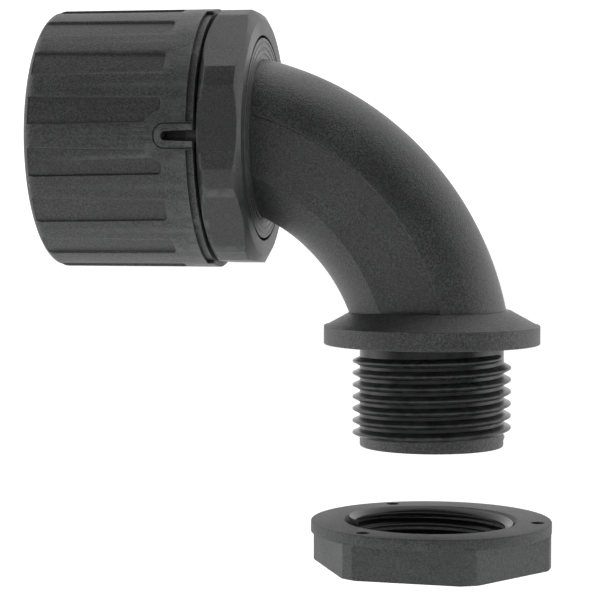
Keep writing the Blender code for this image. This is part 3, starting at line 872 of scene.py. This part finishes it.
def cap_skin():
    """Cap with its finger panels outside and its snap bead and inward lip inside."""
    skin = skin_line()
    mesh = bmesh.new()
    beside_slot = {0: -1, PANELS // 2 - 1: 1, PANELS // 2: -1, PANELS - 1: 1}
    for number in range(PANELS):
        turn = 2 * pi * (number + 0.5) / PANELS
        joined(mesh, wrapped(sector_sheet(beside_slot.get(number, 0), skin), skin, turn))
    inner = [
        (CAP_START, CAP_RADIUS, 0.0),
        (CAP_START, CAP_BORE, 0.12),
        (7.35, CAP_BORE, 0.1),
        (7.8, SNAP_BEAD_RADIUS, 0.15),
        (8.1, SNAP_BEAD_RADIUS, 0.15),
        (8.45, CAP_BORE, 0.1),
        (20.65, CAP_BORE, 0.3),
        (CAP_END - MOUTH_DEPTH, 12.2, 0.1),
        (CAP_END - MOUTH_DEPTH, CAP_MOUTH, 0.12),
        (CAP_END - 0.8, CAP_MOUTH, 0.2),
        (CAP_END, CAP_MOUTH + 0.8, 0.2),
        (CAP_END, CAP_RADIUS - CAP_CORNER, 0.0),
    ]
    corners = [mesh.verts.new(socket_point(along, out)) for along, out in softened(inner, 4, closed=False)]
    edges = [mesh.edges.new(pair) for pair in zip(corners, corners[1:])]
    bmesh.ops.rotate(mesh, cent=SOCKET_CENTRE, matrix=Matrix.Rotation(pi / 2, 3, "X"), verts=corners)
    bmesh.ops.spin(
        mesh,
        geom=corners + edges,
        cent=SOCKET_CENTRE,
        axis=(1.0, 0.0, 0.0),
        angle=2 * pi,
        steps=PANELS * COLUMNS,
        use_merge=True,
    )
    bmesh.ops.remove_doubles(mesh, verts=mesh.verts, dist=2e-6)
    return mesh


def slot_cutters():
    """Screwdriver slots: round at the closed end and a little wider at the rim."""
    mesh = bmesh.new()
    tip = CAP_START + 3.87
    outline = [
        (CAP_START - 1.0, -0.70, 0.0),
        (CAP_START - 1.0, 0.70, 0.0),
        (CAP_START + 0.9, 0.66, 0.1),
        (tip, 0.54, 0.5),
        (tip, -0.54, 0.5),
        (CAP_START + 0.9, -0.66, 0.1),
    ]
    for side in (-1, 1):
        rim = [
            mesh.verts.new(Vector((SOCKET_X - along, side * 11.5, SOCKET_Z + across)) * MM)
            for along, across in softened(outline, 6)
        ]
        raised = bmesh.ops.extrude_face_region(mesh, geom=[mesh.faces.new(rim)], use_keep_orig=True)
        moved = [part for part in raised["geom"] if isinstance(part, bmesh.types.BMVert)]
        bmesh.ops.translate(mesh, verts=moved, vec=(0.0, side * 7.0 * MM, 0.0))
    return piece("slot_cutters", mesh, CAP_NYLON)


def rebate_cutters():
    """Steps round the rim, on both sides of each slot."""
    mesh = bmesh.new()
    step_end, step_radius = CAP_START + 0.8, CAP_RADIUS - 0.45
    outline = [
        (CAP_START - 1.0, step_radius),
        (step_end, step_radius),
        (step_end, CAP_RADIUS + 1.0),
        (CAP_START - 1.0, CAP_RADIUS + 1.0),
    ]
    for centre in (pi / 2, -pi / 2):
        for first in (centre + radians(6), centre - radians(75)):
            each = turned(outline, "X", 36, radians(69))
            swing = Matrix.Rotation(first, 3, "X")
            bmesh.ops.rotate(each, cent=SOCKET_CENTRE, matrix=swing, verts=each.verts)
            joined(mesh, each)
    return piece("rebate_cutters", mesh, CAP_NYLON)


def groove_cutters():
    """A fine line engraved round each slot, open towards the rim."""
    mesh = bmesh.new()
    half, reach = 1.5, CAP_START + 4.75
    path = [
        (CAP_START + 0.05, -half, 0.0),
        (reach, -half, half - 0.05),
        (reach, half, half - 0.05),
        (CAP_START + 0.05, half, 0.0),
    ]
    line = softened(path, 10, closed=False)
    for side in (-1, 1):
        rows = []
        for width, rise in ((-0.06, -0.12), (-0.16, 0.2), (0.16, 0.2), (0.06, -0.12)):
            row = []
            for index, point in enumerate(line):
                ahead = (line[min(index + 1, len(line) - 1)] - line[max(index - 1, 0)]).normalized()
                spot = point + Vector((-ahead.y, ahead.x)) * width
                angle = spot.y / CAP_RADIUS
                radius = CAP_RADIUS + rise
                place = (SOCKET_X - spot.x, side * radius * cos(angle), SOCKET_Z + radius * sin(angle))
                row.append(mesh.verts.new(Vector(place) * MM))
            rows.append(row)
        for first, second in zip(rows, rows[1:] + rows[:1]):
            for index in range(len(line) - 1):
                mesh.faces.new((first[index], first[index + 1], second[index + 1], second[index]))
        bmesh.ops.holes_fill(mesh, edges=[edge for edge in mesh.edges if edge.is_boundary])
    bmesh.ops.recalc_face_normals(mesh, faces=mesh.faces)
    return piece("groove_cutters", mesh, CAP_NYLON)


cap = piece("grip_cap", cap_skin(), CAP_NYLON, "cap", "locking_cap", sharp=30)
cut_away(cap, slot_cutters(), rebate_cutters(), groove_cutters())


# --- Locknut


def nut_rim():
    """Round rim at the nut's top, with heights below its top face."""
    profile = [
        (0.0, NUT_BORE + NUT_CHAMFER, 0.06),
        (0.0, NUT_RADIUS, 0.16),
        (-NUT_RIM_DEPTH, NUT_RADIUS, 0.04),
        (-NUT_RIM_DEPTH, NUT_BORE + 0.3, 0.0),
        (-NUT_CHAMFER, NUT_BORE, 0.05),
    ]
    return turned(softened([(NUT_TOP + h, r, c) for h, r, c in profile], 3), "Z", 192)


def nut_hexagon():
    """Six flats below the rim, which they run a little way into."""
    profile = [
        (-1.2, NUT_BORE + 0.25, 0.0),
        (-1.2, NUT_RADIUS, 0.0),
        (-NUT_HEIGHT, NUT_RADIUS, 0.2),
        (-NUT_HEIGHT, NUT_BORE + NUT_CHAMFER, 0.06),
        (-NUT_HEIGHT + NUT_CHAMFER, NUT_BORE, 0.05),
        (-NUT_RIM_DEPTH, NUT_BORE, 0.0),
    ]
    mesh = turned(softened([(NUT_TOP + h, r, c) for h, r, c in profile], 3), "Z", 192)
    bmesh.ops.recalc_face_normals(mesh, faces=mesh.faces)
    for side in range(6):
        angle = NUT_TURN + pi / 3 * side
        outward = Vector((cos(angle), sin(angle), 0.0))
        rim = sliced(mesh, outward * NUT_APOTHEM * MM, outward)
        low = [edge for edge in rim if min(vert.co.z for vert in edge.verts) < (NUT_TOP - 1.4) * MM]
        bevelled(mesh, low, 0.1)
    return mesh


def nut_thread():
    """Internal thread, in step with the stub's thread once the nut is home."""
    outline = [
        (NUT_THREAD_BURIED, -0.66),
        (NUT_BORE, -0.58),
        (9.34, -0.16),
        (NUT_THREAD_CREST, -0.1),
        (NUT_THREAD_CREST, 0.1),
        (9.34, 0.16),
        (NUT_BORE, 0.58),
        (NUT_THREAD_BURIED, 0.66),
    ]
    foot = THREAD_FOOT + PITCH / 2 - PITCH * 10
    return helix_ridge(foot, NUT_THREAD_TURNS, outline, NUT_THREAD_BURIED, 10)


def dimple_cutters():
    """Small round dimples in the nut's top face."""
    mesh = bmesh.new()
    for number in range(DIMPLES):
        angle = DIMPLE_TURN + 2 * pi * number / DIMPLES
        centre = Vector((DIMPLE_CIRCLE * cos(angle), DIMPLE_CIRCLE * sin(angle), NUT_TOP)) * MM
        bmesh.ops.create_cone(
            mesh,
            cap_ends=True,
            segments=32,
            radius1=0.82 * MM,
            radius2=0.9 * MM,
            depth=1.0 * MM,
            matrix=Matrix.Translation(centre),
        )
    return piece("dimple_cutters", mesh, NUT_NYLON)


nut = piece("nut_rim", nut_rim(), NUT_NYLON, "nut", "locknut", sharp=30)
cut_away(nut, dimple_cutters())
piece("nut_hexagon", nut_hexagon(), NUT_NYLON, "nut", sharp=30)
piece("nut_thread", nut_thread(), SHADED_THREAD_NYLON, "nut", sharp=50)


# --- Studio: pale floor, soft light from all round, and the camera, in metres

LIGHT_AIM = Vector((-0.012, 0.0, 0.01))


def pale_floor():
    """Wide round floor below the nut, bright enough to meet the surroundings without a line."""
    mesh = bmesh.new()
    below = Matrix.Translation((0.0, 0.0, -0.075))
    bmesh.ops.create_circle(mesh, cap_ends=True, segments=96, radius=3.0, matrix=below)
    data = bpy.data.meshes.new("floor")
    mesh.to_mesh(data)
    mesh.free()
    material = bpy.data.materials.new("floor_paint")
    material.use_nodes = True
    shader = material.node_tree.nodes["Principled BSDF"]
    shader.inputs["Base Color"].default_value = (0.9, 0.9, 0.9, 1.0)
    shader.inputs["Roughness"].default_value = 0.9
    shader.inputs["Emission Color"].default_value = (1.0, 1.0, 1.0, 1.0)
    shader.inputs["Emission Strength"].default_value = 0.32
    data.materials.append(material)
    item = bpy.data.objects.new("floor", data)
    bpy.context.scene.collection.objects.link(item)


def soft_light(name, place, size, power):
    """Rectangular light turned to the middle of the object."""
    data = bpy.data.lights.new(name, "AREA")
    data.shape = "RECTANGLE"
    data.size, data.size_y = size
    data.energy = power
    item = bpy.data.objects.new(name, data)
    item.location = place
    item.rotation_euler = (LIGHT_AIM - Vector(place)).to_track_quat("-Z", "Y").to_euler()
    bpy.context.scene.collection.objects.link(item)


def studio_air():
    """Pale surroundings behind the object, dimmer on the camera's side and dimmest between the two."""
    world = bpy.data.worlds.new("studio")
    world.use_nodes = True
    tree = world.node_tree
    direction = tree.nodes.new("ShaderNodeTexCoord").outputs["Generated"]
    split = tree.nodes.new("ShaderNodeSeparateXYZ")
    tree.links.new(direction, split.inputs[0])
    behind = ramp_node(tree, split.outputs["Y"], -0.30, 0.22, 0.0, 1.25)
    before = ramp_node(tree, split.outputs["Y"], -0.97, -0.55, 0.60, 0.05)
    light = math_node(tree, "ADD", behind, before)
    background = tree.nodes["Background"]
    tree.links.new(light, background.inputs["Strength"])
    background.inputs["Color"].default_value = (1.0, 1.0, 1.0, 1.0)
    bpy.context.scene.world = world


def camera():
    """Long lens in front of the object, a little to the right and above."""
    turn, tilt = radians(10.24), radians(3.245)
    back = Vector((sin(turn) * cos(tilt), -cos(turn) * cos(tilt), sin(tilt)))
    data = bpy.data.cameras.new("camera")
    data.lens = 122.64
    data.sensor_width = 36.0
    data.clip_start = 0.01
    item = bpy.data.objects.new("camera", data)
    item.location = (0.02920, -0.25459, 0.01997)
    item.rotation_euler = (-back).to_track_quat("-Z", "Y").to_euler()
    bpy.context.scene.collection.objects.link(item)
    bpy.context.scene.camera = item


pale_floor()
studio_air()
soft_light("top_light", (-0.05, 0.05, 0.45), (0.5, 0.4), 0.4)
soft_light("left_light", (-0.5, -0.05, 0.1), (0.4, 0.5), 1.0)
soft_light("right_light", (0.45, 0.10, -0.12), (0.4, 0.4), 0.9)
camera()
bpy.context.scene.view_settings.view_transform = "Standard"
